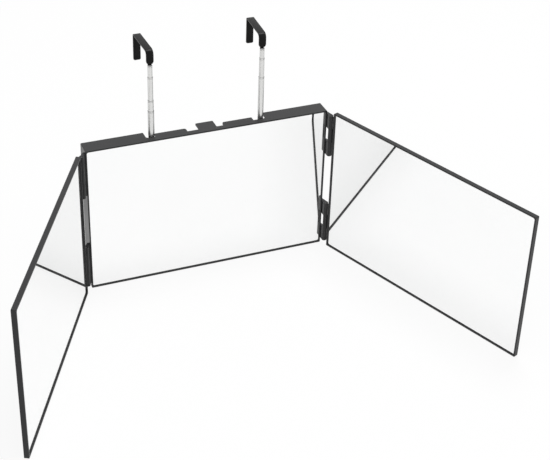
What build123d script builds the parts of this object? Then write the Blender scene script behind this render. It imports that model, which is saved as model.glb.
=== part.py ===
"""Trifold vanity mirror: three framed mirrors on upright pinned hinges, with two
telescopic arms whose hooks go over the top of a door.

Millimetres. The origin is the middle of the centre panel's bottom face, +X is to the
right as the user faces the mirror, +Y is away from the user and +Z is up. Every piece
is drawn in the standing pose, which is joint value 0: wings half open, arms pulled out.
"""
import os
from math import cos, radians, sin

from build123d import *

# ---- the three panels ---------------------------------------------------------------
panel_height = 236.6
centre_width = 373.4
left_width = 363.2
right_width = 377.8
corner_radius = 4.5      # outer corners of each tray
opening_radius = 2.6     # inner corners of each rim
rim_width = 2.1          # face of the rim round each glass
rim_rise = 1.8           # rim standing proud of the glass
rim_bevel = 0.5          # outer edge of each rim
glass_thickness = 2.0
glass_gap = 0.25         # glass to rim, all round
pad_thickness = 1.0      # foam sheet that bonds the glass to the tray floor
pad_margin = 6.0
floor_thickness = 2.2

# ---- rear shell of the centre panel -------------------------------------------------
shell_depth = 20.0
plate_thickness = 2.0    # shell face behind the centre tray
wall = 2.2
shell_bevel = 1.2        # rear edge of the shell
cover_thickness = 2.2
cover_recess = 1.4       # cover in front of the shell's rear edge
cover_gap = 0.3
cover_corner = 1.5
bay_height = 52.0        # bay behind the top edge, open to the rear, for the stowed hooks
bay_half_width = 101.0
ledge_drop = 5.3         # hook ledges below the top face
ledge_thickness = 2.2
ledge_round = 3.6        # rear corner beside each finger cut
tab_half_width = 13.6
tab_round = 1.6
finger_cut = 14.6        # open gap between the middle tab and each ledge
cut_round = 1.2          # inner corners of the finger cuts
notch_width = 18.6       # open gap round each arm
notch_round = 4.5        # inner corners of the notches
lip_round = 1.6          # rear corners beside the notches
gusset_width = 2.0       # rib under each ledge
gusset_size = 12.0

# ---- telescopic arms ----------------------------------------------------------------
arm_x = 84.4
arm_back = 5.7           # arm axis behind the shell's face plate
tube_length = 180.0
tube_radius = 4.5        # widest sliding tube
tube_wall = 0.32
tube_clearance = 0.08
guide_wall = 0.7
guide_rise = 18.0        # guide mouth above the bay floor
guide_fit = 0.1
socket_wall = 1.8
socket_depth = 6.0
tube_step = 2.0          # each mouth above the next when the arm is stowed

# Mouths of the four tubes of each arm in the standing pose, above their stowed heights.
left_raise = (72.3, 87.2, 121.9, 137.75)
right_raise = (0.0, 96.7, 124.8, 137.75)

# ---- hooks --------------------------------------------------------------------------
strap_width = 10.8
strap_thickness = 2.5
hook_length = 60.5
hook_front_leg = 21.8
hook_rear_leg = 41.4
hook_front_bend = 7.5    # outer bend radius over the front leg
hook_rear_bend = 3.2     # likewise over the rear leg
hook_end_round = 2.0     # corners of the rear leg's end
ledge_gap = 0.4          # stowed hook bar over the ledge
left_turn = 1.0          # hook turned about +Z in the standing pose, in degrees
right_turn = -3.2        # likewise, in degrees
collar_height = 1.2
collar_inset = 0.05      # collar inside the tube's outside radius
swivel_gap = 0.3
plug_length = 12.0
plug_flat = 2.3          # flats at the rivet's ends, from the stem's axis
plug_clearance = 0.05
tang_width = 3.4
tang_length = 8.0
slot_gap = 0.05
rivet_radius = 0.8
rivet_below = 4.0        # rivet below the collar's underside

# ---- wing hinges --------------------------------------------------------------------
# Left (-1) and right (1): the left wing folds in first and lies under the right one.
hinge_side = {-1: 6.55, 1: 2.95}      # hinge axis outside the centre panel's side
hinge_forward = {-1: 3.4, 1: 7.8}     # hinge axis in front of the centre rim
hinge_reach = {-1: 7.3, 1: 4.3}       # hinge axis to the wing's near edge
hinge_set = {-1: -1.0, 1: 0.5}        # wing rim behind its hinge axis
barrel_radius = 3.4
leaf_set = 0.5           # front of each wing's hinge leaf behind the axis
ear_root = 1.2           # hinge roots run this far into the tray's side
ear_foot = 2.0           # foot of each ear beyond the tray's side
pin_radius = 1.5
pin_fit = 0.02
knuckle_clearance = 0.06
pin_inset = 0.8
hinge_length = 69.0
hinge_above = 9.1        # lower hinge above the bottom edge
hinge_below = 4.5        # upper hinge below the top edge
knuckle_gap = 0.3
left_swing = 62.44       # wing swung forward from flat in the standing pose, in degrees
right_swing = 68.48      # likewise, in degrees

# ---- cover screws -------------------------------------------------------------------
screw_radius = 1.4
screw_length = 11.0      # under the head
head_radius = 2.8
head_height = 1.2
hole_clearance = 0.1
post_width = 9.0         # square screw posts in the corners
post_inset = 6.5

# ---- worked out from the above ------------------------------------------------------
tray_depth = rim_rise + glass_thickness + pad_thickness + floor_thickness
centre_depth = tray_depth + shell_depth
rim_y = -centre_depth / 2
plate_y = rim_y + tray_depth                 # front of the shell's face plate
bay_y = plate_y + plate_thickness            # back of the face plate
rear_y = rim_y + centre_depth
cover_back = rear_y - cover_recess
cover_y = cover_back - cover_thickness
arm_y = bay_y + arm_back
half_width = centre_width / 2
ledge_inner = tab_half_width + finger_cut
ledge_outer = arm_x - notch_width / 2
notch_outer = arm_x + notch_width / 2
ledge_z = panel_height - ledge_drop
bay_z = panel_height - bay_height
guide_radius = tube_radius + tube_clearance + guide_wall
guide_top = bay_z + guide_rise
stowed_top = ledge_z + ledge_gap + strap_thickness
stowed_mouth = stowed_top - hook_front_leg - collar_height - swivel_gap
guide_bottom = stowed_mouth - 3 * tube_step - tube_length - tube_step
tube_pitch = tube_wall + tube_clearance      # radius lost from one tube to the next
plug_radius = tube_radius - 3 * tube_pitch - tube_wall - plug_clearance
collar_radius = tube_radius - 3 * tube_pitch - collar_inset
rivet_drop = hook_front_leg + collar_height + rivet_below
hinge_x = {side: half_width + reach for side, reach in hinge_side.items()}
hinge_y = {side: rim_y - forward for side, forward in hinge_forward.items()}
third = hinge_length / 3
hinge_bases = (hinge_above, panel_height - hinge_below - hinge_length)
swings = {-1: left_swing, 1: right_swing}
widths = {-1: left_width, 1: right_width}
sides = {-1: "left", 1: "right"}
screw_points = [(x, z) for z in (post_inset, panel_height - post_inset)
                for x in (post_inset - half_width, half_width - post_inset)]

tolerance = 0.001        # for picking edges by their place

os.makedirs("parts", exist_ok=True)


def save(builder, name):
    """Label a finished piece and write it as its own STEP file."""
    builder.part.label = name
    export_step(builder.part, f"parts/{name}.step")


def facing(depth):
    """Upright plane across the centre panel at a depth: X right, Y up, Z to the user."""
    return Plane.XZ.offset(-depth)


def wing_plane(side):
    """Rim plane of a wing in its standing pose, with its origin level with the hinge
    axis: X across the wing, positive to the right, Y up, Z out of the mirror."""
    swing = radians(swings[side])
    return Plane(origin=(*wing_point(side, 0, -hinge_set[side]), 0),
                 x_dir=(cos(swing), -side * sin(swing), 0),
                 z_dir=(-side * sin(swing), -cos(swing), 0))


def wing_point(side, along, front):
    """Plan position of a point given along a wing from its hinge axis and in front."""
    swing = radians(swings[side])
    return (side * (hinge_x[side] + along * cos(swing) - front * sin(swing)),
            hinge_y[side] - along * sin(swing) - front * cos(swing))


def level_with(shapes, axis, value):
    """The edges or vertices whose centres lie at a value along an axis."""
    return shapes.filter_by_position(axis, value - tolerance, value + tolerance)


# ---- trays, foam sheets and glass ---------------------------------------------------
def make_tray(plane, middle, width):
    """Moulded tray whose rim stands proud of the glass that lies in it."""
    with BuildPart() as tray:
        with BuildSketch(plane):
            with Locations((middle, panel_height / 2)):
                RectangleRounded(width, panel_height, corner_radius)
        extrude(amount=-tray_depth)
        outward = Axis(plane.origin, plane.z_dir)
        chamfer(tray.faces().sort_by(outward)[-1].edges(), rim_bevel)
        with BuildSketch(plane):
            with Locations((middle, panel_height / 2)):
                RectangleRounded(width - 2 * rim_width, panel_height - 2 * rim_width,
                                 opening_radius)
        extrude(amount=floor_thickness - tray_depth, mode=Mode.SUBTRACT)
    return tray


def save_glass_and_pad(plane, middle, width, name):
    """Mirror glass in its tray, and the foam sheet that bonds it to the floor."""
    border = 2 * (rim_width + glass_gap)
    with BuildPart() as glass:
        with BuildSketch(plane.offset(-rim_rise)):
            with Locations((middle, panel_height / 2)):
                RectangleRounded(width - border, panel_height - border,
                                 opening_radius - glass_gap)
        extrude(amount=-glass_thickness)
    save(glass, f"{name}_glass")
    border = 2 * (rim_width + pad_margin)
    with BuildPart() as pad:
        with BuildSketch(plane.offset(-rim_rise - glass_thickness)):
            with Locations((middle, panel_height / 2)):
                Rectangle(width - border, panel_height - border)
        extrude(amount=-pad_thickness)
    save(pad, f"{name}_pad")


# ---- centre tray with its hinge ears ------------------------------------------------
with BuildPart() as centre_frame:
    add(make_tray(facing(rim_y), 0, centre_width).part)
    for side in sides:
        barrel_inner = side * (hinge_x[side] - barrel_radius)
        barrel_outer = side * (hinge_x[side] + barrel_radius)
        root = side * (half_width - ear_root)
        foot = side * (half_width + ear_foot)
        for base in hinge_bases:
            for ear_base in (base, base + 2 * third):
                with BuildSketch(Plane.XY.offset(ear_base)):
                    with BuildLine():
                        Polyline((barrel_inner, hinge_y[side]),
                                 (barrel_inner, rim_y + rim_bevel),
                                 (root, rim_y + 2 * rim_bevel), (root, plate_y),
                                 (foot, plate_y), (barrel_outer, hinge_y[side]), close=True)
                    make_face()
                    with Locations((side * hinge_x[side], hinge_y[side])):
                        Circle(barrel_radius)
                        Circle(pin_radius + pin_fit, mode=Mode.SUBTRACT)
                extrude(amount=third)
save(centre_frame, "centre_frame")
save_glass_and_pad(facing(rim_y), 0, centre_width, "centre")

# ---- wings --------------------------------------------------------------------------
for side, name in sides.items():
    width = widths[side]
    reach = hinge_reach[side]
    middle = side * (reach + width / 2)
    plane = wing_plane(side)
    with BuildPart() as frame:
        add(make_tray(plane, middle, width).part)
        for base in hinge_bases:
            with BuildSketch(Plane.XY.offset(base + third + knuckle_gap)):
                with BuildLine():
                    Polyline(wing_point(side, 0, -leaf_set),
                             wing_point(side, reach + ear_root, -leaf_set),
                             wing_point(side, reach + ear_root, -barrel_radius),
                             wing_point(side, 0, -barrel_radius), close=True)
                make_face()
                with Locations((side * hinge_x[side], hinge_y[side])):
                    Circle(barrel_radius)
                    Circle(pin_radius + knuckle_clearance, mode=Mode.SUBTRACT)
            extrude(amount=third - 2 * knuckle_gap)
    save(frame, f"{name}_wing_frame")
    save_glass_and_pad(plane, middle, width, f"{name}_wing")

    for base, level in zip(hinge_bases, ("lower", "upper")):
        with BuildPart() as pin:
            with BuildSketch(Plane.XY.offset(base + pin_inset)):
                with Locations((side * hinge_x[side], hinge_y[side])):
                    Circle(pin_radius)
            extrude(amount=hinge_length - 2 * pin_inset)
        save(pin, f"{name}_{level}_pin")

# ---- centre rear shell --------------------------------------------------------------
with BuildPart() as shell:
    with BuildSketch(facing(plate_y)):
        with Locations((0, panel_height / 2)):
            RectangleRounded(centre_width, panel_height, corner_radius)
    extrude(amount=-shell_depth)
    chamfer(shell.faces().sort_by(Axis.Y)[-1].edges(), shell_bevel)
    with BuildSketch(facing(bay_y)):
        with Locations((0, panel_height / 2)):
            RectangleRounded(centre_width - 2 * wall, panel_height - 2 * wall,
                             corner_radius - wall)
    extrude(amount=bay_y - rear_y, mode=Mode.SUBTRACT)

    # Side walls and floor of the open bay.
    with BuildSketch(facing(bay_y)):
        with Locations((0, bay_z - wall / 2)):
            Rectangle(2 * (bay_half_width + wall), wall)
        for side in sides:
            with Locations((side * (bay_half_width + wall / 2), bay_z + bay_height / 2)):
                Rectangle(wall, bay_height - wall)
    extrude(amount=bay_y - rear_y)

    # Top face cut back to the plate between the notches.
    with BuildSketch(Plane.XY.offset(panel_height - wall)) as cut_back:
        with Locations((0, (bay_y + rear_y) / 2)):
            Rectangle(2 * notch_outer, rear_y - bay_y)
        fillet(cut_back.vertices().group_by(Axis.Y)[0], notch_round)
        for side in sides:
            with BuildLine():
                Line((side * notch_outer, rear_y), (side * notch_outer, rear_y - lip_round))
                RadiusArc((side * notch_outer, rear_y - lip_round),
                          (side * (notch_outer + lip_round), rear_y), -side * lip_round)
                Line((side * (notch_outer + lip_round), rear_y), (side * notch_outer, rear_y))
            make_face()
    extrude(amount=wall, mode=Mode.SUBTRACT)

    # Middle tab, level with the top face.
    with BuildSketch(Plane.XY.offset(panel_height - wall)) as tab:
        with Locations((0, (bay_y + rear_y) / 2)):
            Rectangle(2 * tab_half_width, rear_y - bay_y)
        fillet(tab.vertices().group_by(Axis.Y)[-1], tab_round)
    extrude(amount=wall)

    # Hook ledges, each with a rib under it.
    for side in sides:
        ledge_middle = side * (ledge_inner + ledge_outer) / 2
        with BuildSketch(Plane.XY.offset(ledge_z - ledge_thickness)) as ledge:
            with Locations((ledge_middle, (bay_y + rear_y) / 2)):
                Rectangle(ledge_outer - ledge_inner, rear_y - bay_y)
            rear_corners = ledge.vertices().group_by(Axis.Y)[-1].sort_by(Axis.X)
            fillet(rear_corners[0 if side > 0 else -1], ledge_round)
            fillet(ledge.vertices().group_by(Axis.Y)[-1].sort_by(Axis.X)[-1 if side > 0 else 0],
                   lip_round)
        extrude(amount=ledge_thickness)
        with BuildSketch(Plane.YZ.offset(ledge_middle)):
            with BuildLine():
                Polyline((bay_y, ledge_z - ledge_thickness),
                         (bay_y + gusset_size, ledge_z - ledge_thickness),
                         (bay_y, ledge_z - ledge_thickness - gusset_size), close=True)
            make_face()
        extrude(amount=gusset_width / 2, both=True)

    # Inner corners of the finger cuts and the notches.
    for root_x, root_round in ((tab_half_width, cut_round), (ledge_inner, cut_round),
                               (ledge_outer, notch_round)):
        for side in sides:
            roots = level_with(shell.edges().filter_by(Axis.Z), Axis.Y, bay_y)
            fillet(level_with(roots, Axis.X, side * root_x), root_round)

    # Guide sockets, screw posts, and the holes for both.
    arm_points = [(side * arm_x, arm_y) for side in sides]
    with BuildSketch(Plane.XY.offset(wall / 2)):
        with Locations(arm_points):
            Circle(guide_radius + guide_fit + socket_wall)
    extrude(amount=guide_bottom + socket_depth - wall / 2)
    with BuildSketch(Plane.XY.offset(guide_bottom)):
        with Locations(arm_points):
            Circle(guide_radius + guide_fit)
    extrude(amount=guide_top - guide_bottom, mode=Mode.SUBTRACT)
    with BuildSketch(facing(bay_y)):
        with Locations(screw_points):
            Rectangle(post_width, post_width)
    extrude(amount=bay_y - cover_y)
    with BuildSketch(facing(cover_y)):
        with Locations(screw_points):
            Circle(screw_radius + hole_clearance)
    extrude(amount=screw_length, mode=Mode.SUBTRACT)
save(shell, "centre_shell")

# ---- back cover and its screws ------------------------------------------------------
with BuildPart() as cover:
    with BuildSketch(facing(cover_y)):
        with Locations((0, panel_height / 2)):
            RectangleRounded(centre_width - 2 * (wall + cover_gap),
                             panel_height - 2 * (wall + cover_gap), cover_corner)
        bay_side = bay_half_width + wall + cover_gap
        with Locations((0, bay_z - wall - cover_gap)):
            Rectangle(2 * bay_side, bay_height + wall + cover_gap,
                      align=(Align.CENTER, Align.MIN), mode=Mode.SUBTRACT)
    extrude(amount=-cover_thickness)
    with BuildSketch(facing(cover_y)):
        with Locations(screw_points):
            Circle(screw_radius + hole_clearance)
    extrude(amount=-cover_thickness, mode=Mode.SUBTRACT)
save(cover, "back_cover")

with BuildPart() as screws:
    with BuildSketch(facing(cover_back)):
        with Locations(screw_points):
            Circle(head_radius)
    extrude(amount=-head_height)
    with BuildSketch(facing(cover_back)):
        with Locations(screw_points):
            Circle(screw_radius)
    extrude(amount=screw_length)
save(screws, "cover_screws")

# ---- telescopic arms ----------------------------------------------------------------
def make_tube(x, base, length, radius, thickness):
    """Upright tube on an arm axis, open at both ends."""
    with BuildPart() as tube:
        with BuildSketch(Plane.XY.offset(base)):
            with Locations((x, arm_y)):
                Circle(radius)
                Circle(radius - thickness, mode=Mode.SUBTRACT)
        extrude(amount=length)
    return tube


def make_hook(plane, top, rivet_plane):
    """Strap bent over the door: front leg with a round tongue and a tang for the stem,
    bar, and longer rear leg. The plane's X runs along the bar and its Y is up."""
    half = strap_thickness / 2
    rear = hook_length - half
    tongue_z = top - hook_front_leg + strap_width / 2
    end_z = top - hook_rear_leg
    with BuildPart() as hook:
        with BuildSketch(plane) as side_view:
            with BuildLine():
                Polyline((-half, tongue_z), (-half, top), (rear, top),
                         (rear, end_z + hook_end_round),
                         (rear - strap_thickness, end_z + hook_end_round),
                         (rear - strap_thickness, top - strap_thickness),
                         (half, top - strap_thickness), (half, tongue_z), close=True)
            make_face()
            for level, inset in ((top, 0), (top - strap_thickness, strap_thickness)):
                for radius, end in ((hook_front_bend, 0), (hook_rear_bend, -1)):
                    corners = level_with(side_view.vertices(), Axis.Y, level)
                    fillet(corners.sort_by(Axis.X)[end], radius - inset)
        extrude(amount=strap_width / 2, both=True)
        with BuildSketch(rivet_plane.offset(half)):
            with Locations((0, tongue_z)):
                Circle(strap_width / 2)
                Rectangle(tang_width, strap_width / 2 + tang_length,
                          align=(Align.CENTER, Align.MAX))
        extrude(amount=-strap_thickness)
        with BuildSketch(rivet_plane.offset(strap_thickness - rear)):
            with Locations((0, end_z)):
                RectangleRounded(strap_width, 4 * hook_end_round, hook_end_round,
                                 align=(Align.CENTER, Align.MIN))
        extrude(amount=-strap_thickness)
        with BuildSketch(rivet_plane):
            with Locations((0, top - rivet_drop)):
                Circle(rivet_radius)
        extrude(amount=strap_thickness, both=True, mode=Mode.SUBTRACT)
    return hook


def make_stem(plane, collar_z, rivet_plane):
    """Swivel stem for the mouth of the thinnest tube, slotted for the hook's tang."""
    with BuildPart() as stem:
        with BuildSketch(Plane.XY.offset(collar_z - plug_length)):
            with Locations(plane.origin):
                Circle(plug_radius)
        extrude(amount=plug_length)
        for back in (rivet_plane.z_dir, -rivet_plane.z_dir):
            split(bisect_by=Plane(plane.origin + back * plug_flat, z_dir=back), keep=Keep.BOTTOM)
        with BuildSketch(Plane.XY.offset(collar_z)):
            with Locations(plane.origin):
                Circle(collar_radius)
        extrude(amount=collar_height)
        with BuildSketch(plane):
            with Locations((0, collar_z + collar_height)):
                Rectangle(strap_thickness + 2 * slot_gap, tang_length + slot_gap,
                          align=(Align.CENTER, Align.MAX))
        extrude(amount=tube_radius, both=True, mode=Mode.SUBTRACT)
        with BuildSketch(rivet_plane):
            with Locations((0, collar_z - rivet_below)):
                Circle(rivet_radius)
        extrude(amount=tube_radius, both=True, mode=Mode.SUBTRACT)
    return stem


for side, name, raises, turn in ((-1, "left", left_raise, left_turn),
                                 (1, "right", right_raise, right_turn)):
    x = side * arm_x
    guide = make_tube(x, guide_bottom, guide_top - guide_bottom, guide_radius, guide_wall)
    save(guide, f"{name}_guide_tube")
    for number, raised in enumerate(raises, start=1):
        mouth = stowed_mouth - (4 - number) * tube_step + raised
        radius = tube_radius - (number - 1) * tube_pitch
        tube = make_tube(x, mouth - tube_length, tube_length, radius, tube_wall)
        save(tube, f"{name}_tube_{number}")

    top = stowed_top + raises[-1]
    collar_z = top - hook_front_leg - collar_height
    back = (-sin(radians(turn)), cos(radians(turn)), 0)
    across = (cos(radians(turn)), sin(radians(turn)), 0)
    bar_plane = Plane(origin=(x, arm_y, 0), x_dir=back, z_dir=across)
    rivet_plane = Plane(origin=(x, arm_y, 0), x_dir=across, z_dir=(-back[0], -back[1], 0))
    save(make_hook(bar_plane, top, rivet_plane), f"{name}_hook")
    save(make_stem(bar_plane, collar_z, rivet_plane), f"{name}_hook_stem")
    with BuildPart() as rivet:
        with BuildSketch(rivet_plane):
            with Locations((0, collar_z - rivet_below)):
                Circle(rivet_radius)
        extrude(amount=plug_flat, both=True)
    save(rivet, f"{name}_hook_rivet")
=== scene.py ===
# %% [markdown]
# # A trifold vanity mirror
#
# Three flat mirrors in slim charcoal frames stand on a table like an open book. Two
# telescopic chrome arms rise behind the middle one and carry black hooks for a door.
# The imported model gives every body, size and joint; this lesson dresses it. Most of the
# look is real reflection, so the shapes stay exact and the finishes do the work.

import bmesh
import bpy
import numpy as np
from mathutils import Matrix, Vector


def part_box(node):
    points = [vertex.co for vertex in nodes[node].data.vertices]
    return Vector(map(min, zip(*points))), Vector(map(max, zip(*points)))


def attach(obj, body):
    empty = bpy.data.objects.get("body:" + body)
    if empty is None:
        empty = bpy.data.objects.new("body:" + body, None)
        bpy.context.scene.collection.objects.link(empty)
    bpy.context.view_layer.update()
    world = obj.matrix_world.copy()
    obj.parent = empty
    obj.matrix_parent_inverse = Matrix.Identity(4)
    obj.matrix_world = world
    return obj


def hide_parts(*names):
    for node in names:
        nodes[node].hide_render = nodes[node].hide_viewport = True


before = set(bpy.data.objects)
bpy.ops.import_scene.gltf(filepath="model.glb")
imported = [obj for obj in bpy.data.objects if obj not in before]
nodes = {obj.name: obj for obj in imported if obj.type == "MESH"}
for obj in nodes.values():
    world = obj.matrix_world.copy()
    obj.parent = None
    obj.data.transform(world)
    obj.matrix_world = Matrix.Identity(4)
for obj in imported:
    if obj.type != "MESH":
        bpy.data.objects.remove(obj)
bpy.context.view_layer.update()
SIDES = ("left", "right")
UPRIGHT = np.array([0.0, 0.0, 1.0])
scene = bpy.context.scene

# %% [markdown]
# ## The camera
#
# A product shot is taken from a little above and to one side. A camera is a point, three
# angles and a lens. Its matrix is built from its right, up and backward directions, which
# avoids guessing at the order of rotations. A long lens keeps upright edges nearly
# parallel, which suits a mirror.

# %% Camera values
IMAGE_WIDTH = 550            # pixels
FOCAL_PIXELS = 1401.0
SENSOR_WIDTH = 36.0          # mm
CAMERA_PLACE = np.array([-0.6075, -1.6848, 1.2413])
YAW = np.radians(23.186)     # to the right of straight ahead
PITCH = np.radians(-33.461)  # below the horizon
ROLL = np.radians(2.07)


def camera_directions(yaw, pitch, roll):
    """Right, up and forward unit vectors: forward from yaw and pitch, right level with
    the ground, then right and up turned about forward by the roll."""
    forward = np.array([np.sin(yaw) * np.cos(pitch), np.cos(yaw) * np.cos(pitch),
                        np.sin(pitch)])
    level = np.array([np.cos(yaw), -np.sin(yaw), 0.0])
    upward = np.cross(level, forward)
    right = np.cos(roll) * level + np.sin(roll) * upward
    up = -np.sin(roll) * level + np.cos(roll) * upward
    return right, up, forward


# %% Camera
camera_data = bpy.data.cameras.new("product_camera")
camera_data.lens = FOCAL_PIXELS / IMAGE_WIDTH * SENSOR_WIDTH
camera_data.sensor_width = SENSOR_WIDTH
camera = bpy.data.objects.new("product_camera", camera_data)
right, up, forward = camera_directions(YAW, PITCH, ROLL)
camera_matrix = np.eye(4)
camera_matrix[:3, 0] = right
camera_matrix[:3, 1] = up
camera_matrix[:3, 2] = -forward
camera_matrix[:3, 3] = CAMERA_PLACE
camera.matrix_world = Matrix(camera_matrix.tolist())
scene.collection.objects.link(camera)
bpy.context.scene.camera = camera
print(f"camera: {camera_data.lens:.1f} mm lens")

# %% [markdown]
# ## Nodes in short
#
# A finish, and a room that lights it, are small graphs of nodes. They could be clicked
# together by hand, but a few helpers keep them as short as a formula: each makes one node,
# feeds it and hands back its output.

# %% Node helpers


def feed(tree, socket, value):
    """Gives a socket its value: a link from another socket, or a plain number or colour."""
    if isinstance(value, bpy.types.NodeSocket):
        tree.links.new(value, socket)
    else:
        socket.default_value = value


def maths(tree, operation, first, second):
    """Math node between two values, each a socket or a plain number."""
    node = tree.nodes.new("ShaderNodeMath")
    node.operation = operation
    feed(tree, node.inputs[0], first)
    feed(tree, node.inputs[1], second)
    return node.outputs[0]


def stretch(tree, value, start=(0.0, 1.0), end=(0.0, 1.0)):
    """Value taken from the range start to the range end in proportion, and held inside it."""
    node = tree.nodes.new("ShaderNodeMapRange")
    feed(tree, node.inputs["Value"], value)
    feed(tree, node.inputs["From Min"], start[0])
    feed(tree, node.inputs["From Max"], start[1])
    feed(tree, node.inputs["To Min"], end[0])
    feed(tree, node.inputs["To Max"], end[1])
    return node.outputs["Result"]


def colour_between(tree, mask, start, end):
    """Colour that goes from start to end with a mask. Each is a socket or three numbers."""
    mix = tree.nodes.new("ShaderNodeMix")
    mix.data_type = "RGBA"
    feed(tree, mix.inputs["Factor"], mask)
    for slot, colour in (("A", start), ("B", end)):
        feed(tree, mix.inputs[slot], (*colour, 1.0) if isinstance(colour, tuple) else colour)
    return mix.outputs["Result"]


# %% [markdown]
# ## Light, floor and backdrop
#
# Mirrors and chrome show whatever surrounds them, so the surroundings are part of their
# finish. A bright, even white room gives clean mirrors. The world is a little dimmer as a
# light than it looks to the camera, and two soft lamps add shape. The floor uses the same
# trick: it is almost pure white to the eye, and a little less so in reflections, where the
# soft shade round the mirrors' feet stays visible, as it does in a real studio. A studio is
# a bit brighter than paper white, which hides what one mirror takes from it. The loss of a
# second mirror shows, so the room dims a little for rays that come from two.

# %% Room values
ROOM_LIGHT = 0.66        # strength of the world as a light; seen directly it is 1
FLOOR_WHITE = 0.95
FLOOR_GLOW = 0.88        # share of plain white in what the camera sees of the floor
MIRRORED_GLOW = 0.80     # the same share in what a mirror or chrome shows of the floor
SECOND_LOSS = 0.06       # share of the plain white that a second mirror takes
FLOOR_HALF = 6.0
scene.view_settings.view_transform = "Standard"


def seen_directly(tree, by_camera, in_reflection):
    """One value for camera rays, another for glossy and transmission rays, and 0 for the
    rays that only carry light."""
    path = tree.nodes.new("ShaderNodeLightPath").outputs
    reflected = maths(tree, "MAXIMUM", path["Is Glossy Ray"], path["Is Transmission Ray"])
    return maths(tree, "MAXIMUM", maths(tree, "MULTIPLY", path["Is Camera Ray"], by_camera),
                 maths(tree, "MULTIPLY", reflected, in_reflection))


def plain_white(tree):
    """Strength of the plain white: 1, and less once a ray has left a second mirror."""
    mirrors = tree.nodes.new("ShaderNodeLightPath").outputs["Glossy Depth"]
    return stretch(tree, mirrors, (1.0, 2.0), (1.0, 1.0 - SECOND_LOSS))


# %% World
world = bpy.data.worlds.new("white_room")
world.use_nodes = True
scene.world = world
world_tree = world.node_tree
background = world_tree.nodes["Background"]
background.inputs["Color"].default_value = (1.0, 1.0, 1.0, 1.0)
feed(world_tree, background.inputs["Strength"],
     stretch(world_tree, seen_directly(world_tree, 1.0, 1.0),
             end=(ROOM_LIGHT, plain_white(world_tree))))
print("world:", world.name, "light", ROOM_LIGHT)

# %% Floor
floor_mesh = bpy.data.meshes.new("floor")
floor_mesh.from_pydata([(x * FLOOR_HALF, y * FLOOR_HALF, 0.0)
                        for x, y in ((-1, -1), (1, -1), (1, 1), (-1, 1))],
                       [], [(0, 1, 2, 3)])
floor = bpy.data.objects.new("floor", floor_mesh)
scene.collection.objects.link(floor)

floor_paint = bpy.data.materials.new("white_floor")
floor_paint.use_nodes = True
floor_tree = floor_paint.node_tree
floor_tree.nodes.clear()
matt = floor_tree.nodes.new("ShaderNodeBsdfDiffuse")
matt.inputs["Color"].default_value = (FLOOR_WHITE, FLOOR_WHITE, FLOOR_WHITE, 1.0)
glow = floor_tree.nodes.new("ShaderNodeEmission")
feed(floor_tree, glow.inputs["Strength"], plain_white(floor_tree))
blend = floor_tree.nodes.new("ShaderNodeMixShader")
feed(floor_tree, blend.inputs["Fac"], seen_directly(floor_tree, FLOOR_GLOW, MIRRORED_GLOW))
floor_tree.links.new(matt.outputs[0], blend.inputs[1])
floor_tree.links.new(glow.outputs[0], blend.inputs[2])
floor_out = floor_tree.nodes.new("ShaderNodeOutputMaterial")
floor_tree.links.new(blend.outputs[0], floor_out.inputs["Surface"])
floor.data.materials.append(floor_paint)
print("floor:", 2 * FLOOR_HALF, "m wide")

# %% [markdown]
# One small lamp hangs almost overhead. Polished edges and bends show it as a bright line,
# which is what tells the eye that a black strap is bent. A wide one in front, to the left,
# only lifts the shade; reflections leave it out.

# %% Lamps
LAMPS = {
    "high_lamp": dict(place=(0.7, 0.35, 2.6), size=0.8, power=26.0, reflected=True),
    "front_lamp": dict(place=(-1.6, -2.4, 1.9), size=1.8, power=16.0, reflected=False),
}
AIM = Vector((0.0, -0.1, 0.12))
for lamp_name, facts in LAMPS.items():
    lamp_data = bpy.data.lights.new(lamp_name, "AREA")
    lamp_data.size = facts["size"]
    lamp_data.energy = facts["power"]
    lamp = bpy.data.objects.new(lamp_name, lamp_data)
    lamp.location = facts["place"]
    lamp.rotation_euler = (AIM - lamp.location).to_track_quat("-Z", "Y").to_euler()
    lamp.visible_camera = False
    lamp.visible_glossy = facts["reflected"]
    scene.collection.objects.link(lamp)
print("lamps:", ", ".join(LAMPS))

# %% [markdown]
# ## Shared shader groups
#
# Real moulded plastic, plate and paint are never one flat value. A few small groups hold
# the effects that several finishes share: a moulding grain, handling smears and drawing
# lines. Each gives masks or heights only; the shader stays in its own material.

# %% Group helpers


def new_group(name, inputs, outputs):
    """Empty shader group with float sockets; returns the group and its two end nodes."""
    group = bpy.data.node_groups.new(name, "ShaderNodeTree")
    for socket, value in inputs.items():
        made = group.interface.new_socket(socket, in_out="INPUT", socket_type="NodeSocketFloat")
        made.default_value = value
    for socket in outputs:
        group.interface.new_socket(socket, in_out="OUTPUT", socket_type="NodeSocketFloat")
    return (group, group.nodes.new("NodeGroupInput").outputs,
            group.nodes.new("NodeGroupOutput").inputs)


def noise_at(tree, scale, detail, squeeze=(1.0, 1.0, 1.0)):
    """Noise on Object coordinates. A small number in squeeze draws it out along that axis."""
    where = tree.nodes.new("ShaderNodeTexCoord")
    mapping = tree.nodes.new("ShaderNodeMapping")
    noise = tree.nodes.new("ShaderNodeTexNoise")
    feed(tree, mapping.inputs["Vector"], where.outputs["Object"])
    feed(tree, mapping.inputs["Scale"], squeeze)
    feed(tree, noise.inputs["Vector"], mapping.outputs["Vector"])
    feed(tree, noise.inputs["Scale"], scale)
    feed(tree, noise.inputs["Detail"], detail)
    return noise.outputs["Fac"]


# %% Moulding grain
COARSE_GRAIN_SCALE = 700.0
COARSE_GRAIN_SHARE = 0.5
SPECK_RANGE = (0.35, 0.65)   # part of the fine noise that makes the specks

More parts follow.
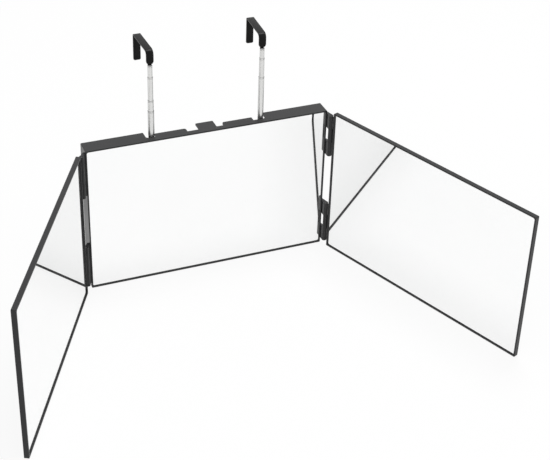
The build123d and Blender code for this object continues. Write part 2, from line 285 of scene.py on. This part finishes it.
grain_group, grain_in, grain_out = new_group(
    "moulding_grain", {"Grain Scale": 2600.0}, ("Height", "Speck"))
fine = noise_at(grain_group, grain_in["Grain Scale"], detail=3.0)
coarse = noise_at(grain_group, COARSE_GRAIN_SCALE, detail=2.0)
feed(grain_group, grain_out["Height"],
     maths(grain_group, "ADD", fine, maths(grain_group, "MULTIPLY", coarse, COARSE_GRAIN_SHARE)))
feed(grain_group, grain_out["Speck"], stretch(grain_group, fine, SPECK_RANGE))

# %% Handling smears
SMEAR_RANGE = (0.38, 0.72)

smear_group, smear_in, smear_out = new_group(
    "handling_smears", {"Size": 14.0, "Amount": 1.0}, ("Smear",))
smeared = stretch(smear_group, noise_at(smear_group, smear_in["Size"], detail=5.0), SMEAR_RANGE)
feed(smear_group, smear_out["Smear"],
     maths(smear_group, "MULTIPLY", smeared, smear_in["Amount"]))

# %% Drawing lines
ALONG_DRAWING = (1.0, 1.0, 0.02)
STREAK_RANGE = (0.35, 0.70)

lines_group, lines_in, lines_out = new_group(
    "drawing_lines", {"Line Scale": 1500.0}, ("Height", "Streak"))
drawn = noise_at(lines_group, lines_in["Line Scale"], detail=2.0, squeeze=ALONG_DRAWING)
feed(lines_group, lines_out["Height"], drawn)
feed(lines_group, lines_out["Streak"], stretch(lines_group, drawn, STREAK_RANGE))
print("groups:", ", ".join(sorted(g.name for g in bpy.data.node_groups)))

# %% [markdown]
# ## Finishes
#
# Each finish is one Principled shader fed by those groups. A finish could be painted as one
# colour, but it is the small change of roughness over a surface that makes it look real.

# %% Finish helpers


def new_finish(name):
    """Material with a Principled shader; returns the material, its tree and the shader's
    sockets."""
    finish = bpy.data.materials.new(name)
    finish.use_nodes = True
    return finish, finish.node_tree, finish.node_tree.nodes["Principled BSDF"].inputs


def use_group(tree, group, **values):
    """Places a group in a material with its own values, named with underscores."""
    node = tree.nodes.new("ShaderNodeGroup")
    node.node_tree = group
    for socket, value in values.items():
        node.inputs[socket.replace("_", " ")].default_value = value
    return node.outputs


def bump(tree, shader, height, depth, strength):
    """Bump on a shader from a height map whose step from 0 to 1 is depth metres."""
    node = tree.nodes.new("ShaderNodeBump")
    feed(tree, node.inputs["Distance"], depth)
    feed(tree, node.inputs["Strength"], strength)
    feed(tree, node.inputs["Height"], height)
    feed(tree, shader["Normal"], node.outputs["Normal"])


# %% [markdown]
# The charcoal plastic is nearly black underneath: most of the grey that is seen on it is
# soft reflection of the room, so its roughness matters more than its colour. The frame is a
# satin moulding; the back cover is duller.

# %% Charcoal plastic
PLASTIC_SPECULAR = 0.30
SPECK_SHARE = 0.35           # how much the grain's specks and the smears lift the colour
SMEAR_SHARE = 0.50
PLASTIC_GRAIN_DEPTH = 0.00004


def charcoal_plastic(name, dark, light, roughness):
    """Moulded plastic with a fine grain and a few paler, duller handling smears."""
    finish, tree, shader = new_finish(name)
    grain = use_group(tree, grain_group)
    smear = use_group(tree, smear_group, Size=16.0, Amount=0.8)["Smear"]
    shader["Specular IOR Level"].default_value = PLASTIC_SPECULAR
    tone = maths(tree, "ADD", maths(tree, "MULTIPLY", grain["Speck"], SPECK_SHARE),
                 maths(tree, "MULTIPLY", smear, SMEAR_SHARE))
    feed(tree, shader["Base Color"], colour_between(tree, tone, dark, light))
    feed(tree, shader["Roughness"], stretch(tree, smear, end=roughness))
    bump(tree, shader, grain["Height"], PLASTIC_GRAIN_DEPTH, strength=0.5)
    return finish


frame_plastic = charcoal_plastic("frame_plastic", dark=(0.013, 0.013, 0.014),
                                 light=(0.024, 0.024, 0.025), roughness=(0.28, 0.40))
cover_plastic = charcoal_plastic("cover_plastic", dark=(0.014, 0.014, 0.015),
                                 light=(0.025, 0.025, 0.026), roughness=(0.44, 0.56))
print("plastics:", frame_plastic.name, cover_plastic.name)

# %% [markdown]
# The glass is a back-silvered sheet. A metallic shader with almost no roughness stands for
# it, because a flat mirror shows only its silver. Faint smears raise the roughness a hair,
# which keeps the reflections from looking like a hole.

# %% Mirror glass
CLEAN_SILVER = (0.978, 0.980, 0.979)
SMEARED_SILVER = (0.966, 0.969, 0.968)
MIRROR_ROUGHNESS = (0.006, 0.022)

mirror_glass, tree, shader = new_finish("mirror_glass")
shader["Metallic"].default_value = 1.0
smear = use_group(tree, smear_group, Size=6.0, Amount=1.0)["Smear"]
feed(tree, shader["Base Color"], colour_between(tree, smear, CLEAN_SILVER, SMEARED_SILVER))
feed(tree, shader["Roughness"], stretch(tree, smear, end=MIRROR_ROUGHNESS))
print("glass:", mirror_glass.name)

# %% [markdown]
# Chrome is metal with a darker rim: where a round tube turns away from the eye, the specular
# tint darkens its reflection, which is a painted shade on the plating. The rolled line where one
# tube enters the next is darkened with painted shade, which stands for the shade in the gap
# between the tubes; the mesh carries it as a mask, so the finish only reads it.

# %% Chrome
# Painted shade: the mask and the dark colour below darken each tube's lip and groove, standing
# in for the shade between the tubes.
PAINTED_SHADE_MASK = "joint_painted_shade"        # the mask's name on the tubes' meshes
PAINTED_SHADE_COLOUR = (0.07, 0.07, 0.07)
PLATE_DULL = (0.68, 0.68, 0.67)
PLATE_BRIGHT = (0.80, 0.80, 0.79)
# Painted shade: this dark specular tint darkens the chrome's reflection towards its rim.
CHROME_RIM_PAINTED_SHADE = (0.12, 0.12, 0.12, 1.0)
CHROME_ROUGHNESS = (0.18, 0.28)
CHROME_LINE_DEPTH = 0.00001

tube_chrome, tree, shader = new_finish("tube_chrome")
shader["Metallic"].default_value = 1.0
shader["Specular Tint"].default_value = CHROME_RIM_PAINTED_SHADE
lines = use_group(tree, lines_group, Line_Scale=1800.0)
painted_shade = tree.nodes.new("ShaderNodeAttribute")
painted_shade.attribute_name = PAINTED_SHADE_MASK
plate = colour_between(tree, lines["Streak"], PLATE_DULL, PLATE_BRIGHT)
feed(tree, shader["Base Color"],
     colour_between(tree, painted_shade.outputs["Fac"], plate, PAINTED_SHADE_COLOUR))
feed(tree, shader["Roughness"], stretch(tree, lines["Streak"], end=CHROME_ROUGHNESS))
bump(tree, shader, lines["Height"], CHROME_LINE_DEPTH, strength=0.3)
print("chrome:", tube_chrome.name)

# %% [markdown]
# The pins, screws and hook stems are plain zinc-grey steel with coarser drawing lines, never
# polished, so they stay well below the chrome.

# %% Plain steel
STEEL_DARK = (0.30, 0.30, 0.30)
STEEL_LIGHT = (0.42, 0.42, 0.42)
STEEL_ROUGHNESS = (0.28, 0.42)
STEEL_LINE_DEPTH = 0.00002

plain_steel, tree, shader = new_finish("plain_steel")
shader["Metallic"].default_value = 1.0
lines = use_group(tree, lines_group, Line_Scale=900.0)
feed(tree, shader["Base Color"],
     colour_between(tree, lines["Streak"], STEEL_DARK, STEEL_LIGHT))
feed(tree, shader["Roughness"], stretch(tree, lines["Streak"], end=STEEL_ROUGHNESS))
bump(tree, shader, lines["Height"], STEEL_LINE_DEPTH, strength=0.4)
print("steel:", plain_steel.name)

# %% [markdown]
# The hooks are dipped in black paint, deeper than the frame's plastic. A low specular level
# keeps the flats black, and the fine grain of the paint breaks up the bright line on the
# bends. The foam sheets behind the glass are the only pale, matt thing.

# %% Black strap and foam
STRAP_SPECULAR = 0.14
STRAP_DARK = (0.003, 0.003, 0.003)
STRAP_WORN = (0.008, 0.008, 0.008)
STRAP_ROUGHNESS = (0.26, 0.40)
STRAP_GRAIN_DEPTH = 0.00003
FOAM_DARK = (0.62, 0.61, 0.58)
FOAM_LIGHT = (0.78, 0.77, 0.74)
FOAM_ROUGHNESS = 0.9
FOAM_CELL_DEPTH = 0.0002

strap_black, tree, shader = new_finish("strap_black")
shader["Specular IOR Level"].default_value = STRAP_SPECULAR
smear = use_group(tree, smear_group, Size=60.0, Amount=1.0)["Smear"]
grain = use_group(tree, grain_group, Grain_Scale=1400.0)
feed(tree, shader["Base Color"], colour_between(tree, smear, STRAP_DARK, STRAP_WORN))
feed(tree, shader["Roughness"], stretch(tree, grain["Speck"], end=STRAP_ROUGHNESS))
bump(tree, shader, grain["Height"], STRAP_GRAIN_DEPTH, strength=0.35)

pad_foam, tree, shader = new_finish("pad_foam")
shader["Roughness"].default_value = FOAM_ROUGHNESS
grain = use_group(tree, grain_group, Grain_Scale=900.0)
feed(tree, shader["Base Color"], colour_between(tree, grain["Speck"], FOAM_DARK, FOAM_LIGHT))
bump(tree, shader, grain["Height"], FOAM_CELL_DEPTH, strength=0.8)
print("finishes:", ", ".join(sorted(m.name for m in bpy.data.materials)))

# %% [markdown]
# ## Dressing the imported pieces
#
# The glass, the foam sheets, the back cover, the pins and the hooks' stems and rivets
# already have their true shape, so they only take a finish. One table says which.

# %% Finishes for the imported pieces
FINISH_OF = {"centre_glass": mirror_glass, "centre_pad": pad_foam, "back_cover": cover_plastic}
for side in SIDES:
    FINISH_OF[f"{side}_wing_glass"] = mirror_glass
    FINISH_OF[f"{side}_wing_pad"] = pad_foam
    for steel_part in ("lower_pin", "upper_pin", "hook_stem", "hook_rivet"):
        FINISH_OF[f"{side}_{steel_part}"] = plain_steel

for node_name, finish in FINISH_OF.items():
    nodes[node_name].data.materials.clear()
    nodes[node_name].data.materials.append(finish)
print("dressed:", len(FINISH_OF), "packed pieces")

# %% [markdown]
# ## Crisp corners
#
# A moulded tray has corners that are hardly eased, about a millimetre and a half. The packed
# trays and rear shell are rounded more than that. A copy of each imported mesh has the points
# of its corners slid outwards, so each corner gets tighter between the same flat sides. The
# straight edges, hinge ears and bevels stay exactly where they are.

# %% Corners
PANEL_HEIGHT = 0.2366
PANEL_WIDTH = {"centre": 0.3734, "left_wing": 0.3632, "right_wing": 0.3778}
PACKED_ROUND = 0.0045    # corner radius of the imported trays
EASED_ROUND = 0.0014     # corner radius of the moulding
OUTER_SKIN = 0.0013      # depth from a corner's arc that holds its wall and bevel
SAME_POINT = 1e-6


def ease_corners(points, along, near, far):
    """Slides the points of four round corners outwards. A point at angle a on its arc moves
    by (packed - eased) * (1 - cos a, 1 - sin a), which is one shift for all arcs about the
    same centre, so bevels keep their width."""
    moved = points.copy()
    for end, way in ((near, -1.0), (far, 1.0)):
        for level, rise in ((0.0, -1.0), (PANEL_HEIGHT, 1.0)):
            beside = way * (points @ along - end) + PACKED_ROUND
            beyond = rise * (points @ UPRIGHT - level) + PACKED_ROUND
            from_centre = np.hypot(beside, beyond)
            chosen = ((np.minimum(beside, beyond) > 10 * SAME_POINT)
                      & (from_centre > PACKED_ROUND - OUTER_SKIN))
            slack = (PACKED_ROUND - EASED_ROUND) * chosen
            moved += (slack * (1 - beside / from_centre))[:, None] * way * along
            moved += (slack * (1 - beyond / from_centre))[:, None] * rise * UPRIGHT
    return moved


# %% [markdown]
# Each arm rises through a notch in the shell's top. On the real shell the notch's right wall
# stands close to the tube, so the copy of the shell has that wall moved. A boolean cut could
# do it, but sliding points keeps every other face as it is.

# %% Notches
NOTCH_HALF = 0.0093      # arm axis to the notch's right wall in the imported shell
NOTCH_ROUND = 0.0045     # round corner in front of that wall
LIP_ROUND = 0.0016       # round corner behind it
NOTCH_DEEP = 0.0078      # the wall lies no deeper than this below the top
NOTCH_SHIFT = {"left": 0.0018, "right": 0.0030}


def narrow_notches(points):
    """Slides the right wall of each arm notch towards its tube. The wall, its round corner
    and its lip all move by one shift along x, and only flats that run along x join them to
    the rest."""
    moved = points.copy()
    for side, shift in NOTCH_SHIFT.items():
        tube_low, tube_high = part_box(f"{side}_tube_1")
        wall = (tube_low[0] + tube_high[0]) / 2 + NOTCH_HALF
        beside = points[:, 0] - wall
        chosen = ((beside > -NOTCH_ROUND - SAME_POINT) & (beside < LIP_ROUND + SAME_POINT)
                  & (points[:, 2] > PANEL_HEIGHT - NOTCH_DEEP))
        moved[chosen, 0] -= shift
    return moved


# %% [markdown]
# The copies are loose triangles at first, so their doubled points are merged. A weighted
# normal then keeps the big flats flat, while the hinge barrels and corners shade round.

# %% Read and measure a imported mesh


def read_mesh(node):
    """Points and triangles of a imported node, as two arrays."""
    points = np.empty(len(node.data.vertices) * 3)
    node.data.vertices.foreach_get("co", points)
    corners = np.empty(len(node.data.loops), dtype=np.int32)
    node.data.loops.foreach_get("vertex_index", corners)
    return points.reshape(-1, 3), corners.reshape(-1, 3)


def panel_ends(panel):
    """Level direction along a panel's glass, away from the middle of the object, and where
    the panel begins and ends along it."""
    glass = read_mesh(nodes[f"{panel}_glass"])[0]
    level = glass[:, :2] - glass[:, :2].mean(axis=0)
    along = np.append(np.linalg.svd(level, full_matrices=False)[2][0], 0.0)
    if along @ glass.mean(axis=0) < 0:
        along = -along
    middle = glass.mean(axis=0) @ along
    half = PANEL_WIDTH[panel] / 2
    return along, middle - half, middle + half


for panel in PANEL_WIDTH:
    print(panel, "runs along", panel_ends(panel)[0].round(3))

# %% From points to a piece


def finish_piece(mesh, merge_within, sharp_degrees, finish, body, replaced):
    """Merges a mesh's doubled points, turns its faces outwards, shades it smooth but for
    edges over the sharp angle, and hangs it on its body in place of a node."""
    work = bmesh.new()
    work.from_mesh(mesh)
    bmesh.ops.remove_doubles(work, verts=work.verts, dist=merge_within)
    bmesh.ops.recalc_face_normals(work, faces=work.faces)
    work.to_mesh(mesh)
    work.free()
    mesh.shade_smooth()
    mesh.set_sharp_from_angle(angle=np.radians(sharp_degrees))
    mesh.materials.append(finish)
    piece = bpy.data.objects.new(mesh.name, mesh)
    scene.collection.objects.link(piece)
    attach(piece, body)
    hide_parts(replaced)
    return piece


# %% Trays and shell
MOULDINGS = {"centre_frame": "centre", "centre_shell": "centre",
             "left_wing_frame": "left_wing", "right_wing_frame": "right_wing"}
MOULDING_SHARP = 30      # degrees

for node_name, panel in MOULDINGS.items():
    points, triangles = read_mesh(nodes[node_name])
    points = ease_corners(points, *panel_ends(panel))
    if node_name == "centre_shell":
        points = narrow_notches(points)
    mesh = bpy.data.meshes.new(f"{node_name}_moulded")
    mesh.from_pydata(points.tolist(), [], triangles.tolist())
    moulding = finish_piece(mesh, SAME_POINT, MOULDING_SHARP, frame_plastic, panel, node_name)
    moulding.modifiers.new("flats", "WEIGHTED_NORMAL").keep_sharp = True
    print(moulding.name, len(mesh.polygons), "triangles")

# %% [markdown]
# ## Surfaces from grids
#
# The pads, tubes, hooks and screws are moulded, turned or bent, with soft edges that catch
# the light. Each is a grid of points worked out in one go with numpy. One helper turns any
# such grid into a closed mesh: rows run along the piece and columns run round it.

# %% Grid to mesh
GRID_SAME_POINT = 1e-7
GRID_SHARP = 40          # degrees


def mesh_from_grid(name, grid, close_rows, finish, body, replaced):
    """Mesh whose columns close on themselves. Rows either close too, as on a ring, or end
    in flat caps."""
    rows, columns = grid.shape[:2]
    index = np.arange(rows * columns).reshape(rows, columns)
    across = np.roll(index, -1, axis=1)
    below = np.roll(index, -1, axis=0)
    last = rows if close_rows else rows - 1
    faces = np.stack([index, across, np.roll(below, -1, axis=1), below], axis=-1)[:last]
    polygons = faces.reshape(-1, 4).tolist()
    if not close_rows:
        polygons += [index[0].tolist(), index[-1][::-1].tolist()]
    mesh = bpy.data.meshes.new(name)
    mesh.from_pydata(grid.reshape(-1, 3).tolist(), [], polygons)
    return finish_piece(mesh, GRID_SAME_POINT, GRID_SHARP, finish, body, replaced)


# %% [markdown]
# ## Hinge pads
#
# Raised pads close the view past the hinge barrels: one beside each right hinge, on the
# wing's end wall, and one between the ears of each left hinge, on the centre tray's side.
# A pad's section is a slab whose face falls off a little towards its sides, with the sixth
# power of the place across it, and the pad ends in a small step down.

# %% Pad sizes
WING_PAD_RISE = 0.0007
TRAY_PAD_RISE = 0.0021
PAD_CROWN = 0.1              # share of the rise that is lost at the pad's sides
PAD_FRONT = 0.0005           # first edge of the pad behind the rim's face
PAD_DEPTH = 0.0058
PAD_ROOT = 0.0003            # part of the pad inside the wall
PAD_STEP = 0.0004
PAD_STEP_SHARE = 0.4         # rise that is left at the pad's two ends
PAD_COLUMNS = 15
EAR_GAP_HALF = 0.0116        # half the height between a hinge's two ears, and a little more
RIM_RISE = 0.0018            # rim in front of the glass


def pad_grid(panel, along, near, rise, low, high):
    """Grid of a pad on the wall where a panel begins: each row is its section at one height.
    The section lies along the panel and out of its face."""
    outward = np.cross(along, UPRIGHT)
    face = (read_mesh(nodes[f"{panel}_glass"])[0] @ outward).max() + RIM_RISE
    place = np.linspace(-1.0, 1.0, PAD_COLUMNS)
    section = np.append(rise * (1 - PAD_CROWN * place ** 6), [-PAD_ROOT, -PAD_ROOT])
    across = face - PAD_FRONT + PAD_DEPTH / 2 * (np.append(place, [1.0, -1.0]) - 1)
    levels = np.array([low, low + PAD_STEP, high - PAD_STEP, high])
    share = np.array([PAD_STEP_SHARE, 1.0, 1.0, PAD_STEP_SHARE])
    return ((near - section * share[:, None])[..., None] * along
            + across[None, :, None] * outward + levels[:, None, None] * UPRIGHT)


# %% Pads
wing_along, wing_near, _ = panel_ends("right_wing")
tray_along, tray_near = np.array([1.0, 0.0, 0.0]), -PANEL_WIDTH["centre"] / 2
for level in ("lower", "upper"):
    low, high = (corner[2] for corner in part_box(f"right_{level}_pin"))
    middle = (low + high) / 2
    wing_pad = pad_grid("right_wing", wing_along, wing_near, WING_PAD_RISE, low, high)
    tray_pad = pad_grid("centre", tray_along, tray_near, TRAY_PAD_RISE,
                        middle - EAR_GAP_HALF, middle + EAR_GAP_HALF)
    mesh_from_grid(f"right_{level}_hinge_pad", wing_pad, False, frame_plastic,
                   "right_wing", "right_wing_frame")
    mesh_from_grid(f"left_{level}_hinge_pad", tray_pad, False, frame_plastic,
                   "centre", "centre_frame")
    print(level, "hinge pads:", wing_pad.shape[:2], "and", tray_pad.shape[:2], "points")

# %% [markdown]
# ## Telescopic tubes
#
# Each tube is thin drawn steel, plated. Its mouth is rolled over the next tube, which
# leaves a slight bead, a lip and, a little lower, a rolled groove; lip and groove are darkened
# with painted shade. A closed profile of radius and height, spun about the arm's axis, gives
# wall, mouth and bore in one surface.

# %% Tube sizes
TUBE_WALL = 0.00032
GUIDE_WALL = 0.0007
MOUTH_BEAD = 0.00015     # bead at a mouth, proud of the tube
BEAD_HEIGHT = 0.0014
GROOVE_BELOW = 0.0021    # middle of the rolled groove below the mouth
GROOVE_HALF = 0.00045
GROOVE_DEPTH = 0.00014
# Painted shade, as shares of the dark colour, in the groove and at the lip.
GROOVE_PAINTED_SHADE = 0.6
LIP_PAINTED_SHADE = 0.85
SPIN_STEPS = 72
BEAD_STEPS = 9


def tube_profile(radius, low, high, wall, bead):
    """Closed profile (radius, height) and its painted shade: up the outside, through a groove,
    round a beaded mouth and down the bore. The groove is a full cosine wave, the bead a half
    sine, the mouth a half circle. The painted shade darkens the groove and the lip. A tube
    without a bead, such as the guide, has no groove either."""
    part = np.linspace(0.0, 1.0, BEAD_STEPS)
    wave = (1 - np.cos(2 * np.pi * part)) / 2
    depth = GROOVE_DEPTH * np.sign(bead)
    outside = np.array([[radius, low]])
    groove = np.stack([radius - depth * wave,
                       high - GROOVE_BELOW + (2 * part - 1) * GROOVE_HALF], axis=1)
    swell = np.stack([radius + bead * np.sin(part * np.pi),
                      high - BEAD_HEIGHT + part * (BEAD_HEIGHT - wall / 2)], axis=1)
    turn = part * np.pi
    lip = np.stack([radius - wall / 2 + wall / 2 * np.cos(turn),
                    high - wall / 2 + wall / 2 * np.sin(turn)], axis=1)
    bore = np.stack([np.full(2, radius - wall), [high - BEAD_HEIGHT, low]], axis=1)
    profile = np.concatenate([outside, groove, swell[:-1], lip, bore])
    painted_shade = np.concatenate([[0.0], GROOVE_PAINTED_SHADE * wave, np.zeros(BEAD_STEPS - 1),
                            np.full(BEAD_STEPS, LIP_PAINTED_SHADE), np.zeros(2)])
    return profile, painted_shade


def spin(profile, centre, steps):
    """Grid of a profile turned about an upright axis: row i, column j is profile point i at
    angle j."""
    angle = np.linspace(0.0, 2 * np.pi, steps, endpoint=False)
    radius, height = profile[:, :1], profile[:, 1:]
    return np.stack([centre[0] + radius * np.cos(angle), centre[1] + radius * np.sin(angle),
                     np.broadcast_to(height, (len(profile), steps))], axis=-1)


# %% Tubes


def make_tube(node_name, wall, bead, finish, body):
    """Tube piece as wide and tall as its node, with its painted shade as a mask on its points.
    """
    low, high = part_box(node_name)
    centre = ((low[0] + high[0]) / 2, (low[1] + high[1]) / 2)
    radius = (high[0] - low[0]) / 2
    profile, painted_shade = tube_profile(radius, low[2], high[2], wall, bead)
    piece = mesh_from_grid(f"{node_name}_drawn", spin(profile, centre, SPIN_STEPS), True,
                           finish, body, node_name)
    mask = piece.data.attributes.new(PAINTED_SHADE_MASK, "FLOAT", "POINT")
    mask.data.foreach_set("value", np.repeat(painted_shade, SPIN_STEPS).astype(np.float32))
    return piece


for side in SIDES:
    tubes = [make_tube(f"{side}_guide_tube", GUIDE_WALL, 0.0, plain_steel, "centre")]
    for number in (1, 2, 3, 4):
        name = f"{side}_tube_{number}"
        tubes.append(make_tube(name, TUBE_WALL, MOUTH_BEAD, tube_chrome, name))
    print(side, "arm:", len(tubes), "tubes")

# %% [markdown]
# ## Hooks
#
# A hook is a flat steel strap bent twice in a brake press and painted black. Its section is
# a rectangle with softly rounded corners. That section is carried along the bent centre
# line, and its half width shrinks towards each end, which rounds the tongue into a half
# circle and takes the corners off the rear leg.

# %% Hook sizes
STRAP_HALF = 0.0054
STRAP_THICK = 0.0025
STRAP_EDGE = 0.00035     # rounded corners of the section
HOOK_LENGTH = 0.0605
FRONT_LEG = 0.0218
FRONT_BEND = 0.0075 - STRAP_THICK / 2    # bend radius of the strap's centre line
REAR_BEND = 0.0032 - STRAP_THICK / 2
END_ROUND = 0.002
TANG_HALF = 0.0017
TANG_LENGTH = 0.008
HOOK_TURN = {"left": np.radians(1.0), "right": np.radians(-3.2)}

# %% Hook line
BEND_STEPS = 9
TONGUE_STEPS = 14
END_STEPS = 8
TONGUE_START = 0.05      # first angle of the tongue's half circle, where it has some width
ABOVE_TANG = 0.00002     # the tang ends this far below the tongue
REAR_STRAIGHT = 0.004    # a row this far below the rear bend keeps the leg flat


def bent_line(top, rear_end, axis, turn):
    """Centre line of the strap from the tang up, over the bar and down the rear leg, with
    its direction at each point. Straight runs are joined by quarter circles. Rows crowd
    together where the width changes: at the tongue and at the rear end."""
    upper = top - STRAP_THICK / 2
    reach = HOOK_LENGTH - STRAP_THICK
    tongue = top - FRONT_LEG
    quarter = np.linspace(0.0, np.pi / 2, BEND_STEPS)
    tongue_angle = np.linspace(TONGUE_START, np.pi / 2, TONGUE_STEPS)
    end_angle = np.linspace(0.0, np.pi / 2, END_STEPS)
    front = np.concatenate([[tongue - TANG_LENGTH, tongue - ABOVE_TANG],
                            tongue + STRAP_HALF * (1 - np.cos(tongue_angle))])
    rear = np.concatenate([[upper - REAR_BEND - REAR_STRAIGHT],
                           (rear_end + END_ROUND * (1 - np.cos(end_angle)))[::-1]])
    back = np.concatenate([np.zeros(len(front)), FRONT_BEND * (1 - np.cos(quarter)),
                           reach - REAR_BEND + REAR_BEND * np.sin(quarter),
                           np.full(len(rear), reach)])
    height = np.concatenate([front, upper - FRONT_BEND + FRONT_BEND * np.sin(quarter),
                             upper - REAR_BEND + REAR_BEND * np.cos(quarter), rear])
    heading = np.concatenate([np.full(len(front), np.pi / 2), np.pi / 2 - quarter,
                              -quarter, np.full(len(rear), -np.pi / 2)])
    line = np.stack([axis[0] - np.sin(turn) * back, axis[1] + np.cos(turn) * back, height],
                    axis=1)
    return line, heading


# %% Hook section


def circle_width(radius, height):
    """Half width of a circle at a height above its lowest point, up to its middle."""
    height = np.clip(height, 0.0, radius)
    return np.sqrt(np.clip(radius ** 2 - (radius - height) ** 2, 0.0, None))


def strap_half_width(line, top, rear_end, is_rear):
    """Half width at each row: the tang's, then a half circle for the tongue, the full strap,
    and a rear end whose corners are rounded."""
    tongue = circle_width(STRAP_HALF, line[:, 2] - (top - FRONT_LEG))
    rear = STRAP_HALF - END_ROUND + circle_width(END_ROUND, line[:, 2] - rear_end)
    return np.where(is_rear, rear, np.maximum(tongue, TANG_HALF))


def strap_section(half_width, half_thick, edge, steps=5):
    """Rounded rectangle for each row: four corner centres, each with a quarter circle."""
    sweep = np.linspace(0.0, np.pi / 2, steps)
    angle = np.concatenate([sweep + quarter * np.pi / 2 for quarter in range(4)])
    sign_across = np.repeat([1, -1, -1, 1], steps)
    sign_out = np.repeat([1, 1, -1, -1], steps)
    across = sign_across * (half_width[:, None] - edge) + edge * np.cos(angle)
    out = sign_out * (half_thick - edge) + edge * np.sin(angle)
    return across, np.broadcast_to(out, across.shape)


# %% Hooks


def make_hook(side):
    """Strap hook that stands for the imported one: the section carried along the bent line."""
    turn = HOOK_TURN[side]
    low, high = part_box(f"{side}_hook")
    tube_low, tube_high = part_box(f"{side}_tube_4")
    axis = ((tube_low[0] + tube_high[0]) / 2, (tube_low[1] + tube_high[1]) / 2)
    line, heading = bent_line(high[2], low[2], axis, turn)
    is_rear = (heading < 0) & (line[:, 2] < high[2] - FRONT_LEG)
    half_width = strap_half_width(line, high[2], low[2], is_rear)
    across, out = strap_section(half_width, STRAP_THICK / 2, STRAP_EDGE)
    back_way = np.array([-np.sin(turn), np.cos(turn), 0.0])
    side_way = np.array([np.cos(turn), np.sin(turn), 0.0])
    outward = -np.sin(heading)[:, None] * back_way + np.cos(heading)[:, None] * UPRIGHT
    grid = line[:, None, :] + across[..., None] * side_way + out[..., None] * outward[:, None, :]
    return mesh_from_grid(f"{side}_hook_strap", grid, False, strap_black, f"{side}_hook",
                          f"{side}_hook")


for side in SIDES:
    hook = make_hook(side)
    print(hook.name, len(hook.data.polygons), "faces")

# %% [markdown]
# ## Cover screws
#
# Four small pan head screws hold the back cover. A screw is turned, so its grid is a profile
# spun about its own axis; the cross recess is then pressed into the crown as a height that
# depends on both directions. Its four arms are the places where one coordinate is small and
# the other is not too large.

# %% Screw sizes
HEAD_RADIUS = 0.0028
HEAD_HEIGHT = 0.0012
CROWN_SHARE = 0.80       # part of the head's radius that is crown; the rest rounds down
CROWN_DROP = 0.00035
SHANK_RADIUS = 0.0014
RECESS_HALF = 0.00040    # half width of one arm of the cross
RECESS_REACH = 0.00145
RECESS_DEPTH = 0.00075
RECESS_SLOPE = 0.5       # share of the depth that is lost at the arms' ends
RECESS_WALL = 0.00014    # run over which a recess wall falls
SCREW_STEPS = 96
CROWN_STEPS = 24
EDGE_STEPS = 8


def screw_grid(x, top, z, tip):
    """Grid of one screw that faces backwards: a parabolic crown, a quarter ellipse down to
    the seat, the shank and its end. Across the crown a cross is pressed in."""
    crown = np.linspace(0.0, CROWN_SHARE, CROWN_STEPS)
    turn = np.linspace(0.0, np.pi / 2, EDGE_STEPS)[1:]
    edge = CROWN_SHARE + (1 - CROWN_SHARE) * np.sin(turn)
    radius = np.concatenate([HEAD_RADIUS * crown, HEAD_RADIUS * edge,
                             [SHANK_RADIUS, SHANK_RADIUS, 0.0]])
    depth = np.concatenate([CROWN_DROP * (crown / CROWN_SHARE) ** 2,
                            CROWN_DROP + (HEAD_HEIGHT - CROWN_DROP) * (1 - np.cos(turn)),
                            [HEAD_HEIGHT, top - tip - SHANK_RADIUS, top - tip]])
    angle = np.linspace(0.0, 2 * np.pi, SCREW_STEPS, endpoint=False)
    across = radius[:, None] * np.cos(angle)
    upward = radius[:, None] * np.sin(angle)
    narrow = np.minimum(abs(across), abs(upward))
    wide = np.maximum(abs(across), abs(upward))
    arm = np.clip((RECESS_HALF - narrow) / RECESS_WALL + 0.5, 0.0, 1.0)
    inside = np.clip((RECESS_REACH - wide) / RECESS_WALL + 0.5, 0.0, 1.0)
    on_crown = (np.arange(len(radius)) < len(crown))[:, None]
    slope = 1 - RECESS_SLOPE * wide / RECESS_REACH
    pressed = RECESS_DEPTH * arm * inside * slope * on_crown
    return np.stack([x + across, top - depth[:, None] - pressed, z + upward], axis=-1)


# %% Screws
screws_low, screws_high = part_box("cover_screws")
columns = {"left": screws_low[0] + HEAD_RADIUS, "right": screws_high[0] - HEAD_RADIUS}
rows = {"lower": screws_low[2] + HEAD_RADIUS, "upper": screws_high[2] - HEAD_RADIUS}
for level, z in rows.items():
    for side, x in columns.items():
        screw = mesh_from_grid(f"{side}_{level}_cover_screw",
                               screw_grid(x, screws_high[1], z, screws_low[1]), False,
                               plain_steel, "centre", "cover_screws")
        print(screw.name, len(screw.data.polygons), "faces")
